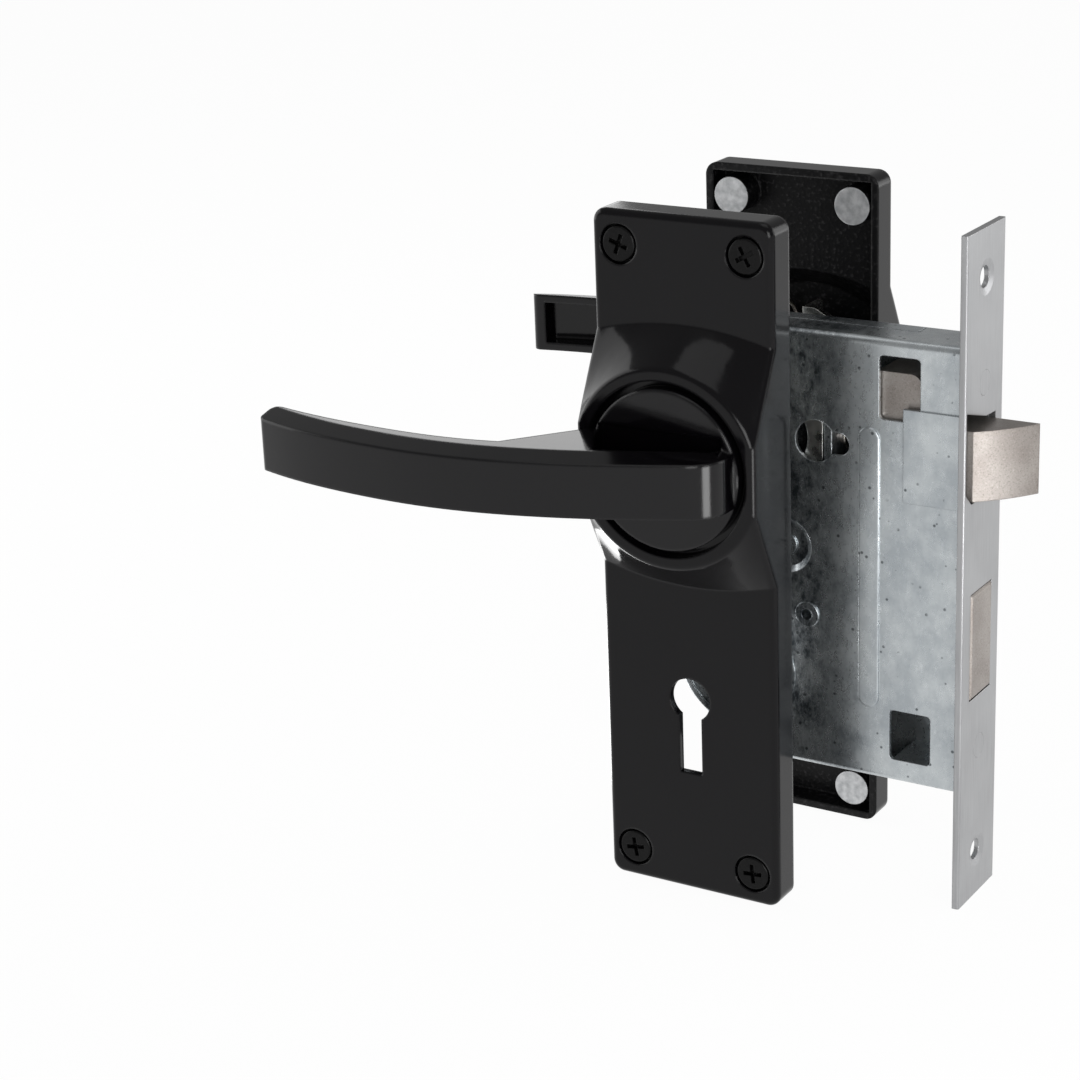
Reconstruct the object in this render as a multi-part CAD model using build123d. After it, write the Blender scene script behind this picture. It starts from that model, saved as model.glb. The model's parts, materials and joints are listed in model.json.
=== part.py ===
from build123d import *
import math
import os

# Mortise lockset: lock case, forend, latch, deadbolt with three levers, two handle plates and levers.
# Millimetres. +X out through the forend, +Y through the door, +Z up.
# The origin is the centre of the forend's outer face, midway between its two screw holes.

# Running and assembly clearances
running = 0.05
slide_gap = 0.3
fixed_gap = 0.02

# Door layout
door_thickness = 44.0
backset = 57.0
spindle_height = 27.5
spindle_to_key = 57.0

# Forend
forend_length = 155.0
forend_width = 20.0
forend_thickness = 1.6
forend_edge = 0.5
forend_screw_spacing = 133.4
forend_screw_hole = 4.8
forend_screw_sink = 7.9
forend_sink_depth = 0.5
rivet_head_diameter = 5.6
rivet_head_height = 0.8
rivet_shank = 3.2
upper_rivet_height = 43.5
lower_rivet_height = -40.9
# The latch opening slants to the near edge for the striker side, as Y and Z corners
latch_slot_corners = [(-9.4, 20.8), (-6.3, 17.9), (6.3, 17.9), (6.3, 35.6), (1.0, 35.8), (-9.4, 39.0)]

# Case
sheet = 1.0
case_inside = 11.4
case_top = 52.5
case_bottom = -50.8
case_depth = 77.6
corner_cut_depth = 18.4
corner_cut_height = 21.9
bend_radius = 1.6
cover_bend = 0.9
seam_offset = 1.5
seam_gap = 0.3
seam_front = -16.0
front_relief = 0.7
lug_height = 8.6
upper_lug_centre = 42.4
lower_lug_centre = -40.1
lug_edge = 0.2
window_corner = 1.0
upper_window = (-21.6, -11.9, 34.5, 48.9)
lower_window = (-18.7, -8.8, -45.3, -33.3)
tab_inset = 0.7
rib_height = 0.5
rib_edge = 0.4
rib_width = 5.1
rib_groove = 3.4
rib_x = -23.85
rib_bottom = -33.5
rib_top = 32.4
sight_x = -36.9
sight_radius = 4.85
sight_lobe_radius = 2.6
sight_lobe_x = -31.2
cup_x = -44.5
cup_z = 2.0
cup_radius = 7.0
cup_floor_radius = 5.2
cup_depth = 1.3
key_ring_radius = 14.8
key_ring_width = 1.2
key_ring_height = 0.4
bulge_rear = -15.7
bulge_height = 0.5
bulge_bottom = 16.3
bulge_top = 37.5
pillar_radius = 2.5
pillar_tenon = 1.8
pillar_rear_room = 4.6
pillar_upper = 20.0
pillar_middle = -25.5
pillar_lower = -45.5
pillar_front_x = -48.5
cup_pillar_radius = 3.0
cup_rivet_radius = 2.4
key_hole_radius = 5.1
key_slot_width = 5.6
key_slot_length = 17.0

# Latch
latch_head_thickness = 11.6
latch_body_thickness = 10.6
latch_bottom = 18.3
latch_top = 34.1
latch_tip = 10.4
latch_head_rear = -5.5
latch_rear = -22.5
latch_bevel_bulge = 0.5
latch_travel = 10.0
upper_block_front = -12.0
upper_block_top = 45.0
upper_block_corner = 3.0
spring_pocket_depth = 7.5
stem_radius = 1.8
guide_rear = -35.2
guide_front = -33.4
guide_bottom = 19.0
guide_top = 36.0

# Crosshead, the carriage that the follower pulls
crosshead_front = -35.8
crosshead_block = 3.0
crosshead_plate = 1.6
crosshead_plate_rear = -44.0
crosshead_bottom = 22.0
crosshead_top = 47.5
crosshead_leg = 3.5
crosshead_far = 3.0
hook_thickness = 3.7
hook_reach = 8.5
hook_far = 2.0
arm_play = 0.7

# Follower and spindle
follower_hole = 14.0
arm_length = 15.5
arm_width = 5.2
arm_thickness = 4.0
spindle_size = 7.9
spindle_hole = 8.0
spindle_end = 36.0

# Deadbolt
bolt_thickness = 11.0
bolt_bottom = -28.1
bolt_top = -3.4
bolt_face = 0.3
bolt_rear = -17.0
bolt_edge = 0.5
bolt_travel = 14.0
tail_thickness = 2.5
tail_rear_room = 7.6
tail_bottom = -22.0
tail_top = -6.5
talon_width = 9.0
talon_depth = 6.5
stump_rear_room = 11.6
stump_z = -10.0
stump_size = 4.5

# Levers
post_rear_room = 38.6
post_z = -13.7
post_radius = 2.3
post_head_radius = 3.0
post_head_height = 0.5
post_head_edge = 0.3
post_bore = 1.3
lever_count = 3
lever_thickness = 1.7
lever_pitch = 1.9
lever_side_gap = 0.5
lever_rear_room = 5.6
lever_nose = 3.8
lever_top = -5.0
lever_bottom = -17.0
belly_drop = 4.0
belly_radius = 20.0
lever_lifts = (0.13, 0.16, 0.19)
window_clearance = 0.6
gate_steps = 6
pocket_extra = 0.8
spring_strip = 0.4
spring_strip_width = 1.3

# Handle plates
plate_width = 43.5
plate_length = 158.0
plate_centre_height = 2.2
plate_depth = 7.8
plate_wall = 1.8
plate_corner = 3.0
plate_edge = 1.5
plate_screw_side = 6.5
plate_screw_end = 7.5
dome_height = 9.5
dome_half_length = 29.8
dome_side_drop = 3.2
dome_side_overlap = 1.6
dome_rim_radius = 22.4
dome_rim_corner = 12.0
dome_edge = 1.5
dome_inside_shift = 2.7
rose_recess_radius = 19.8
rose_floor = 13.8
boss_radius = 4.4
screw_head_radius = 4.0
screw_head_height = 2.1
screw_seat_radius = 4.5
screw_shank_radius = 2.0
screw_length = 6.2
screw_recess = 1.0
screw_recess_length = 4.6
screw_recess_depth = 1.4
screw_turns = (10.0, 70.0, 5.0, 28.0)
plate_key_radius = 5.1
plate_key_slot = 5.7
plate_key_length = 18.0

# Lever handles
disc_radius = 18.2
disc_face = 39.8
disc_gap = 0.4
disc_edge = 0.4
neck_radius = 8.95
neck_end_radius = 7.95
neck_end = 23.0
bar_low = 20.15
bar_high = 34.85
bar_bevel = 1.35
bar_bevel_depth = 5.5
bar_wall = 2.0
bar_corner = 2.2
bar_root_depth = 1.2
bar_foot_left = 17.2
bar_end_corner = 9.0
channel_start = 26.0
channel_end = 88.0
channel_roof_start = 22.0
# The bar seen from above: how far left of the spindle, and how far out from the disc's face
bar_front_line = [(-17.2, 8.4), (3.0, 17.2), (23.0, 23.7), (43.0, 27.0),
                  (63.0, 26.7), (78.0, 24.7), (92.0, 21.0)]
bar_back_line = [(92.0, 14.5), (78.0, 17.2), (63.0, 18.6), (43.0, 18.4), (31.0, 16.2)]
# The pit behind the bar's root, also as seen from above, sunk into the disc under a rounded crest
root_pit_line = [(15.8, -2.2), (15.8, 1.0), (9.5, 12.5), (3.0, 10.7),
                 (-9.0, 6.0), (-13.5, 3.2), (-15.0, -2.2)]
root_pit_floor = 25.0
root_pit_top = 35.9
root_crest_edge = 1.2

# Return parts behind the plates
cam_radius = 11.2
cam_thickness = 2.0
cam_far = 26.6
cam_lug_left = 1.5
cam_lug_top = 21.0
cam_lug_flat = 4.5
cam_lug_right = 9.5
cam_lug_shoulder = 18.3
cam_tab = 1.5
cam_tab_depth = 5.6
circlip_inner = 7.2
circlip_outer = 10.0
circlip_thickness = 1.0
circlip_far = 24.5
circlip_slot = 4.0
pin_radius = 1.5
pin_depth = 29.6
pin_sink = 0.4

# Springs: wire radius, mean coil radius and turns
latch_spring_wire = 0.45
latch_spring_radius = 2.75
latch_spring_turns = 7
return_spring_wire = 0.5
return_spring_radius = 4.8
return_spring_turns = 8
return_spring_angle = 30.0
return_spring_middle = 28.2
return_spring_side = 4.75
return_ledge = 2.5

# Sizes that follow from the ones above
spindle_x = -backset
key_height = spindle_height - spindle_to_key
half_inside = case_inside / 2
case_near = -half_inside - sheet
case_far = half_inside + sheet
case_rear = -case_depth
case_front = -forend_thickness
rim = door_thickness / 2
plate_face = rim + plate_depth
plate_low = plate_centre_height - plate_length / 2
plate_high = plate_centre_height + plate_length / 2
follower_radius = follower_hole / 2 - running
dome_top = plate_face + dome_height
recess_floor = rim + rose_floor
hook_face = spindle_x - arm_width / 2 - arm_play
lever_rear = case_rear + lever_rear_room
tail_rear = case_rear + tail_rear_room
stump_x = case_rear + stump_rear_room
post_x = case_rear + post_rear_room
lever_front = post_x + lever_nose
pillar_rear = case_rear + pillar_rear_room
pillar_places = [(pillar_rear, pillar_upper), (pillar_rear, pillar_middle), (pillar_front_x, pillar_lower)]
cut_top = (case_rear, case_bottom + corner_cut_height)
cut_foot = (case_rear + corner_cut_depth, case_bottom)
plate_screw_x = plate_width - 2 * plate_screw_side
plate_screw_z = plate_length - 2 * plate_screw_end
return_spring_length = plate_width / 2 - return_spring_side


def block(x0, x1, y0, y1, z0, z1):
    """A box between two corners."""
    middle = Pos((x0 + x1) / 2, (y0 + y1) / 2, (z0 + z1) / 2)
    return middle * Box(x1 - x0, y1 - y0, z1 - z0)


def rod_y(x, z, radius, y0, y1):
    """A round bar along Y."""
    return Pos(x, (y0 + y1) / 2, z) * Rot(90, 0, 0) * Cylinder(radius, y1 - y0)


def rod_x(y, z, radius, x0, x1):
    """A round bar along X."""
    return Pos((x0 + x1) / 2, y, z) * Rot(0, 90, 0) * Cylinder(radius, x1 - x0)


def rod_z(x, y, radius, z0, z1):
    """A round bar along Z."""
    return Pos(x, y, (z0 + z1) / 2) * Cylinder(radius, z1 - z0)


def slab_y(sketch, y0, y1):
    """A sketch in X and Z, extruded between two Y values."""
    return extrude(Plane.XZ.offset(-y1) * sketch, amount=y1 - y0)


def slab_x(sketch, x0, x1):
    """A sketch in Y and Z, extruded between two X values."""
    return extrude(Plane.YZ.offset(x0) * sketch, amount=x1 - x0)


def slab_z(sketch, z0, z1):
    """A sketch in X and Y, extruded between two Z values."""
    return extrude(Plane.XY.offset(z0) * sketch, amount=z1 - z0)


def outline(points):
    """A face inside a closed run of straight lines."""
    return make_face(Polyline(*points, close=True))


def closed(*lines):
    """A face inside lines that meet end to end."""
    return make_face([edge for line in lines for edge in line.edges()])


def at(x, z):
    """A place in a sketch."""
    return Pos(x, z)


def edges_along(shape, axis, test):
    """Edges that run along an axis and whose centre passes a test."""
    return [edge for edge in shape.edges().filter_by(axis) if test(edge.center())]


def mirrored(shape):
    """The same piece for the other side of the door."""
    return mirror(shape, about=Plane.XZ)


def key_hole(radius, slot, length):
    """The outline of a keyhole under the key's axis."""
    round_part = at(spindle_x, key_height) * Circle(radius)
    slot_part = at(spindle_x, key_height - length / 2) * Rectangle(slot, length)
    return round_part + slot_part


def biarc(start, start_way, end, end_way):
    """Two arcs that leave one point along its direction and reach the next along its own."""
    span = end - start
    both = start_way + end_way
    spread = 2 * (1 - start_way.dot(end_way))
    reach = (math.sqrt(span.dot(both) ** 2 + spread * span.dot(span)) - span.dot(both)) / spread
    first = start + start_way * reach
    second = end - end_way * reach
    joint = (first + second) * 0.5
    return [TangentArc(start, joint, tangent=start_way),
            TangentArc(joint, end, tangent=second - first)]


def coil_point(plane, radius, pitch, angle):
    """A point of a helix and its direction there."""
    place = Vector(radius * math.cos(angle), radius * math.sin(angle), pitch * angle / math.tau)
    way = Vector(-radius * math.sin(angle), radius * math.cos(angle), pitch / math.tau)
    start = plane.from_local_coords(place)
    return start, (plane.from_local_coords(place + way) - start).normalized()


def coil_gap(plane, radius, pitch, turns, wire):
    """The least gap between the turns of a coil, measured on points along it."""
    steps = 24
    points = [coil_point(plane, radius, pitch, math.tau * i / steps)[0] for i in range(turns * steps + 1)]
    apart = steps // 2
    near = min((points[i] - points[j]).length
               for i in range(len(points)) for j in range(i + apart, len(points)))
    return near - 2 * wire


def coil(name, plane, radius, length, turns, wire):
    """A helical spring of one unbroken round wire, on quarter turn biarcs."""
    pitch = (length - 2 * wire) / turns
    plane = plane.offset(wire)
    quarters = [coil_point(plane, radius, pitch, math.pi / 2 * i) for i in range(4 * turns + 1)]
    arcs = []
    for (start, start_way), (end, end_way) in zip(quarters, quarters[1:]):
        arcs += biarc(start, start_way, end, end_way)
    first, way = quarters[0]
    section = Plane(origin=first, z_dir=way) * Circle(wire)
    print(name, "least gap between turns", round(coil_gap(plane, radius, pitch, turns, wire), 3))
    return sweep(section, path=Wire([arc.edge() for arc in arcs]))


def forend():
    half = forend_width / 2
    plate = block(-forend_thickness, 0, -half, half, -forend_length / 2, forend_length / 2)
    plate = fillet(edges_along(plate, Axis.Z, lambda c: c.X > -forend_thickness / 2), forend_edge)
    for z in (-forend_screw_spacing / 2, forend_screw_spacing / 2):
        plate -= rod_x(0, z, forend_screw_hole / 2, -forend_thickness, 0)
        countersink = Cone(forend_screw_hole / 2, forend_screw_sink / 2, forend_sink_depth)
        plate -= Pos(-forend_sink_depth / 2, 0, z) * Rot(0, 90, 0) * countersink
    for z in (upper_rivet_height, lower_rivet_height):
        plate -= rod_x(0, z, rivet_shank / 2 + fixed_gap, -forend_thickness, 0)
        plate -= rod_x(0, z, rivet_head_diameter / 2 + fixed_gap, -rivet_head_height, 0)
    plate -= slab_x(outline(latch_slot_corners), -forend_thickness, 0)
    half_bolt = bolt_thickness / 2 + slide_gap
    plate -= block(-forend_thickness, 0, -half_bolt, half_bolt, bolt_bottom - slide_gap, bolt_top + slide_gap)
    return plate


def forend_rivets():
    rivets = Part()
    back = case_front - sheet
    for z in (upper_rivet_height, lower_rivet_height):
        rivet = rod_x(0, z, rivet_shank / 2, back, 0)
        rivet += rod_x(0, z, rivet_head_diameter / 2, -rivet_head_height, 0)
        rivet += rod_x(0, z, rivet_head_diameter / 2, back - rivet_head_height, back)
        rivets += rivet
    return rivets


def side_openings():
    """Openings that both side sheets share: follower hole, keyhole and pillar tenons."""
    shape = at(spindle_x, spindle_height) * Circle(follower_hole / 2)
    shape += key_hole(key_hole_radius, key_slot_width, key_slot_length)
    shape += at(post_x, post_z) * Circle(post_radius + fixed_gap)
    shape += at(cup_x, cup_z) * Circle(cup_rivet_radius + fixed_gap)
    for x, z in pillar_places:
        shape += at(x, z) * Circle(pillar_tenon + fixed_gap)
    return shape


def side_sheet(y0, y1):
    """One side of the case, set back from the forend above and below its lugs."""
    relieved = case_front - front_relief
    body = block(case_rear, relieved, y0, y1, case_bottom, case_top)
    lug_top = upper_lug_centre + lug_height / 2
    lug_bottom = lower_lug_centre - lug_height / 2
    return body + block(relieved, case_front, y0, y1, lug_bottom, lug_top)


def cut_corner(shape, y0, y1):
    """A shape without its lower rear corner, closed by a flange across the cut between two Y values."""
    shape -= slab_y(outline([(case_rear, case_bottom), cut_top, cut_foot]), case_near, case_far)
    steep = math.dist(cut_top, cut_foot)
    inner_top = (case_rear, cut_top[1] + sheet * steep / corner_cut_depth)
    inner_foot = (cut_foot[0] + sheet * steep / corner_cut_height, case_bottom)
    return shape + slab_y(outline([cut_top, inner_top, inner_foot, cut_foot]), y0, y1)


def cut_edges(shape, y):
    """The edge along the cut corner at one face of the case."""
    middle = ((cut_top[0] + cut_foot[0]) / 2, (cut_top[1] + cut_foot[1]) / 2)
    return [edge for edge in shape.edges() if abs(edge.center().Y - y) < fixed_gap
            and math.dist((edge.center().X, edge.center().Z), middle) < sheet / 2]


def latch_bulge(y0, y1):
    """The raised panel that leaves room for the latch head."""
    return block(bulge_rear, case_front, y0, y1, bulge_bottom, bulge_top)


def window_sketch(x0, x1, z0, z1):
    width, height = x1 - x0, z1 - z0
    return at((x0 + x1) / 2, (z0 + z1) / 2) * RectangleRounded(width, height, window_corner)


def tray_flanges():
    """Top, bottom and rear flanges, deeper in front of the seam."""
    relieved = case_front - front_relief
    seam = seam_offset
    shape = block(case_rear, case_rear + sheet, case_near, seam, case_bottom, case_top)
    for z0 in (case_bottom, case_top - sheet):
        shape += block(case_rear, relieved, case_near, seam, z0, z0 + sheet)
        shape += block(seam_front, relieved, case_near, half_inside, z0, z0 + sheet)
    return shape


def case_tray():
    relieved = case_front - front_relief
    tray = cut_corner(side_sheet(case_near, -half_inside) + tray_flanges(), case_near, seam_offset)
    bends = edges_along(tray, Axis.X, lambda c: c.Y < case_near + fixed_gap
                        and (c.Z > case_top - fixed_gap or c.Z < case_bottom + fixed_gap))
    bends += edges_along(tray, Axis.Z, lambda c: c.Y < case_near + fixed_gap and c.X < case_rear + fixed_gap)
    tray = fillet(bends + cut_edges(tray, case_near), bend_radius)
    for z in (upper_lug_centre, lower_lug_centre):
        lug = block(case_front - sheet, case_front, case_near, half_inside - lug_edge,
                    z - lug_height / 2, z + lug_height / 2)
        tray += lug
    for z in (upper_rivet_height, lower_rivet_height):
        tray -= rod_x(0, z, rivet_shank / 2 + fixed_gap, relieved - sheet, case_front)
    tray -= slab_y(window_sketch(*upper_window), case_near, -half_inside)
    tray -= slab_y(window_sketch(*lower_window), case_near, -half_inside)
    for (x0, x1, z0, z1), edge in ((upper_window, "top"), (lower_window, "bottom")):
        low = z1 if edge == "top" else z0 - sheet
        tray += block(x0 + tab_inset, x1 - tab_inset, case_near, half_inside, low, low + sheet)
    rib_middle = (rib_bottom + rib_top) / 2
    rib = at(rib_x, rib_middle) * Rot(0, 0, 90) * SlotOverall(rib_top - rib_bottom, rib_width)
    groove = at(rib_x, rib_middle) * Rot(0, 0, 90) * SlotOverall(
        rib_top - rib_bottom - rib_width + rib_groove, rib_groove)
    raised = slab_y(rib, case_near - rib_height, case_near)
    raised = fillet(raised.faces().sort_by(Axis.Y)[0].edges(), rib_edge)
    tray += raised
    tray -= slab_y(groove, -half_inside - rib_height, -half_inside)
    ring = at(spindle_x, key_height) * (Circle(key_ring_radius) - Circle(key_ring_radius - key_ring_width))
    tray += slab_y(ring, case_near - key_ring_height, case_near)
    tray += latch_bulge(case_near - bulge_height, -half_inside)
    tray -= latch_bulge(-half_inside - bulge_height, -half_inside)
    sight = at(sight_x, spindle_height) * Circle(sight_radius)
    sight += at(sight_lobe_x, spindle_height) * Circle(sight_lobe_radius)
    sight += at((sight_x + sight_lobe_x) / 2, spindle_height) * Rectangle(
        sight_lobe_x - sight_x, 2 * sight_lobe_radius)
    tray -= slab_y(sight, case_near, -half_inside)
    tray += slab_y(at(cup_x, cup_z) * Circle(cup_radius), -half_inside, -half_inside + cup_depth)
    cup = Cone(cup_radius - sheet / 2, cup_floor_radius, cup_depth)
    tray -= Pos(cup_x, case_near + cup_depth / 2, cup_z) * Rot(-90, 0, 0) * cup
    tray -= slab_y(side_openings(), case_near - key_ring_height, -half_inside + cup_depth)
    return tray


def case_cover():
    relieved = case_front - front_relief
    cover = side_sheet(half_inside, case_far)
    near = seam_offset + seam_gap
    cover += block(case_rear, case_rear + sheet, near, case_far, case_bottom, case_top)
    for z0 in (case_bottom, case_top - sheet):
        cover += block(case_rear, seam_front - seam_gap, near, case_far, z0, z0 + sheet)
    cover = cut_corner(cover, near, case_far)
    bends = edges_along(cover, Axis.X, lambda c: c.Y > case_far - fixed_gap and c.X < relieved
                        and (c.Z > case_top - fixed_gap or c.Z < case_bottom + fixed_gap))
    bends += edges_along(cover, Axis.Z, lambda c: c.Y > case_far - fixed_gap and c.X < case_rear + fixed_gap)
    cover = fillet(bends + cut_edges(cover, case_far), cover_bend)
    cover += latch_bulge(half_inside, case_far + bulge_height)
    cover -= latch_bulge(half_inside, half_inside + bulge_height)
    cover -= slab_y(side_openings(), half_inside, case_far)
    return cover


def case_pillars():
    pillars = Part()
    for x, z in pillar_places:
        pillars += rod_y(x, z, pillar_radius, -half_inside, half_inside) + rod_y(
            x, z, pillar_tenon, case_near, case_far)
    return pillars


def centre_pillar():
    """The riveted spacer at the pressed cup."""
    pillar = rod_y(cup_x, cup_z, cup_pillar_radius, -half_inside + cup_depth, half_inside)
    pillar += rod_y(cup_x, cup_z, cup_rivet_radius, case_near + cup_depth - sheet / 2, case_far)
    return pillar


def lever_post():
    """The hollow riveted post that the levers turn on."""
    post = rod_y(post_x, post_z, post_radius, case_near, case_far)
    head = rod_y(post_x, post_z, post_head_radius, case_near - post_head_height, case_near)
    head = fillet(head.faces().sort_by(Axis.Y)[0].edges(), post_head_edge)
    return post + head - rod_y(post_x, post_z, post_bore, case_near - post_head_height, case_far)


def lever_y(index):
    """The near face of a lever, counted from one."""
    first = -latch_head_thickness / 2 + slide_gap + tail_thickness + lever_side_gap
    return first + (index - 1) * lever_pitch


def lever_spacer():
    near = lever_y(lever_count) + lever_thickness + slide_gap / 2
    ring = rod_y(post_x, post_z, post_head_radius + sheet / 2, near, half_inside - slide_gap / 2)
    return ring - rod_y(post_x, post_z, post_radius + fixed_gap, near, half_inside)


def latch_guide():
    guide = block(guide_rear, guide_front, -half_inside, half_inside, guide_bottom, guide_top)
    return guide - rod_x(0, spindle_height, stem_radius + running, guide_rear, guide_front)


def latch_bolt():
    half = latch_head_thickness / 2
    bevel_middle = (latch_tip / 2 + latch_bevel_bulge, -latch_bevel_bulge)
    edge = Polyline((0, -half), (latch_head_rear, -half), (latch_head_rear, half), (latch_tip, half))
    bevel = ThreePointArc((latch_tip, half), bevel_middle, (0, -half))
    head = slab_z(closed(edge, bevel), latch_bottom, latch_top)
    body_half = latch_body_thickness / 2
    body = block(latch_rear, latch_head_rear, -body_half, body_half, latch_bottom, latch_top)
    upper = block(latch_rear, upper_block_front, -body_half, body_half, latch_top, upper_block_top)
    corner = edges_along(upper, Axis.Y, lambda c: c.X > upper_block_front - fixed_gap
                         and c.Z > upper_block_top - fixed_gap)
    upper = fillet(corner, upper_block_corner)
    bolt = head + body + upper
    bolt -= rod_x(0, spindle_height, latch_spring_radius + latch_spring_wire + slide_gap,
                  latch_rear, latch_rear + spring_pocket_depth)
    return bolt + rod_x(0, spindle_height, stem_radius, crosshead_front - crosshead_block,
                        latch_rear + spring_pocket_depth)


def crosshead():
    near = -latch_body_thickness / 2
    plate_far = near + crosshead_plate
    rear = hook_face - hook_thickness
    plate = block(crosshead_plate_rear, crosshead_front, near, plate_far, crosshead_bottom, crosshead_top)
    swept = rod_y(spindle_x + latch_travel, spindle_height, follower_radius + 2 * slide_gap, near, plate_far)
    shape = plate - swept
    shape += block(rear, crosshead_front, near, plate_far, crosshead_top - crosshead_leg, crosshead_top)
    shape += block(crosshead_front - crosshead_block, crosshead_front, near, crosshead_far,
                   crosshead_bottom, guide_top)
    shape += block(rear, hook_face, near, hook_far, spindle_height + hook_reach, crosshead_top)
    return shape - rod_x(0, spindle_height, stem_radius + fixed_gap,
                         crosshead_front - crosshead_block, crosshead_front)


def follower():
    hub = rod_y(spindle_x, spindle_height, follower_radius, case_near, case_far)
    half = arm_width / 2
    arm = block(spindle_x - half, spindle_x + half, -arm_thickness / 2, arm_thickness / 2,
                spindle_height, spindle_height + arm_length)
    square = at(spindle_x, spindle_height) * Rectangle(spindle_hole, spindle_hole)
    return hub + arm - slab_y(square, case_near, case_far)


def pin_hole(side, radius, reach=neck_radius + sheet):
    """A vertical pin through one neck and the spindle, or with the usual reach the hole for it."""
    return rod_z(spindle_x, side * pin_depth, radius, spindle_height - reach, spindle_height + reach)


def spindle():
    square = at(spindle_x, spindle_height) * Rectangle(spindle_size, spindle_size)
    bar = slab_y(square, -spindle_end, spindle_end)
    return bar - pin_hole(-1, pin_radius + fixed_gap) - pin_hole(1, pin_radius + fixed_gap)


def spindle_pins():
    reach = neck_radius - pin_sink
    return pin_hole(-1, pin_radius, reach) + pin_hole(1, pin_radius, reach)


def deadbolt():
    half = bolt_thickness / 2
    head = block(bolt_rear, bolt_face, -half, half, bolt_bottom, bolt_top)
    near_face = head.faces().sort_by(Axis.X)[-1]
    head = chamfer(near_face.edges(), bolt_edge)
    tail_near = -latch_body_thickness / 2
    tail_far = tail_near + tail_thickness
    tail = block(tail_rear, bolt_rear, tail_near, tail_far, tail_bottom, tail_top)
    slot_middle = post_x - bolt_travel / 2
    slot = at(slot_middle, post_z) * SlotCenterToCenter(bolt_travel, 2 * (post_radius + running))
    tail -= slab_y(slot, tail_near, tail_far)
    talon_left = spindle_x - talon_width / 2
    tail -= block(talon_left, talon_left + talon_width, tail_near, tail_far,
                  tail_bottom, tail_bottom + talon_depth)
    return head + tail


def bolt_stump():
    near = -latch_body_thickness / 2 + tail_thickness
    far = lever_y(lever_count) + lever_thickness + slide_gap
    half = stump_size / 2
    return block(stump_x - half, stump_x + half, near, far, stump_z - half, stump_z + half)


def stump_in_lever(travel, lift):
    """Where the stump's centre lies in a lever's own frame at one travel of the bolt."""
    angle = lift * travel / bolt_travel
    x = stump_x + travel - post_x
    z = stump_z - post_z
    turned_x = x * math.cos(angle) - z * math.sin(angle)
    turned_z = z * math.cos(angle) + x * math.sin(angle)
    return post_x + turned_x, post_z + turned_z


def lever_window(lift):
    """A pocket at each end of the stump's falling way through the lever, joined by the gate."""
    half = stump_size / 2 + window_clearance
    pocket = half + pocket_extra
    way = [stump_in_lever(bolt_travel * step / gate_steps, lift) for step in range(gate_steps + 1)]
    (rear_x, rear_z), (front_x, front_z) = way[0], way[-1]
    upper = [(x + half, z + half) for x, z in way]
    lower = [(x - half, z - half) for x, z in reversed(way)]
    gate = outline([(rear_x - half, rear_z + half), *upper, (front_x + half, front_z - half), *lower])
    rear_pocket = at(rear_x, rear_z) * RectangleRounded(2 * half, 2 * pocket, window_clearance)
    front_pocket = at(front_x, front_z) * RectangleRounded(2 * pocket, 2 * pocket, window_clearance)
    return gate + rear_pocket + front_pocket


def lever(index):
    body = outline([(lever_rear, lever_bottom), (lever_front, lever_bottom),
                    (lever_front, post_z + post_radius + sheet), (post_x - 3 * post_radius, lever_top),
                    (lever_rear, lever_top)])
    body += at(spindle_x, lever_bottom - belly_drop + belly_radius) * Circle(belly_radius) & at(
        spindle_x, lever_bottom - belly_drop / 2) * Rectangle(2 * belly_radius, belly_drop)
    body -= lever_window(lever_lifts[index - 1])
    body -= at(post_x, post_z) * Circle(post_radius + running)
    near = lever_y(index)
    return slab_y(body, near, near + lever_thickness)


def lever_springs():
    """A leaf for each lever, from the centre pillar down to the lever's top edge."""
    start = (cup_x - cup_pillar_radius - fixed_gap, cup_z - cup_pillar_radius / 2)
    end = (stump_x, lever_top + slide_gap + spring_strip / 2)
    length = math.dist(start, end)
    slope = math.degrees(math.atan2(start[1] - end[1], start[0] - end[0]))
    leaf = at((start[0] + end[0]) / 2, (start[1] + end[1]) / 2) * Rot(0, 0, slope) * Rectangle(
        length, spring_strip)
    leaves = Part()
    for index in range(1, lever_count + 1):
        near = lever_y(index) + (lever_thickness - spring_strip_width) / 2
        leaves += slab_y(leaf, near, near + spring_strip_width)
    return leaves


def latch_spring():
    plane = Plane(origin=(guide_front, 0, spindle_height), z_dir=(1, 0, 0))
    length = latch_rear + spring_pocket_depth - guide_front
    return coil("latch_spring", plane, latch_spring_radius, length, latch_spring_turns, latch_spring_wire)


def dome_foot(y):
    """The dome's outline on the plate: two shallow arcs, carried on past the plate's sides."""
    half_width = plate_width / 2
    radius = (half_width ** 2 + dome_side_drop ** 2) / (2 * dome_side_drop)
    wide = half_width + dome_side_overlap
    side = dome_half_length - radius + math.sqrt(radius ** 2 - wide ** 2)
    x, z = spindle_x, spindle_height
    top = ThreePointArc((x - wide, y, z + side), (x, y, z + dome_half_length), (x + wide, y, z + side))
    low = ThreePointArc((x + wide, y, z - side), (x, y, z - dome_half_length), (x - wide, y, z - side))
    return closed(top, Line(top @ 1, low @ 0), low, Line(low @ 1, top @ 0))


def dome_rim(y):
    """The dome's round rim, in four arcs that meet where the foot has its corners."""
    corner = math.radians(dome_rim_corner)
    wide = dome_rim_radius * math.cos(corner)
    high = dome_rim_radius * math.sin(corner)
    x, z, radius = spindle_x, spindle_height, dome_rim_radius
    top = ThreePointArc((x - wide, y, z + high), (x, y, z + radius), (x + wide, y, z + high))
    right = ThreePointArc((x + wide, y, z + high), (x + radius, y, z), (x + wide, y, z - high))
    low = ThreePointArc((x + wide, y, z - high), (x, y, z - radius), (x - wide, y, z - high))
    left = ThreePointArc((x - wide, y, z - high), (x - radius, y, z), (x - wide, y, z + high))
    return closed(top, right, low, left)


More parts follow.
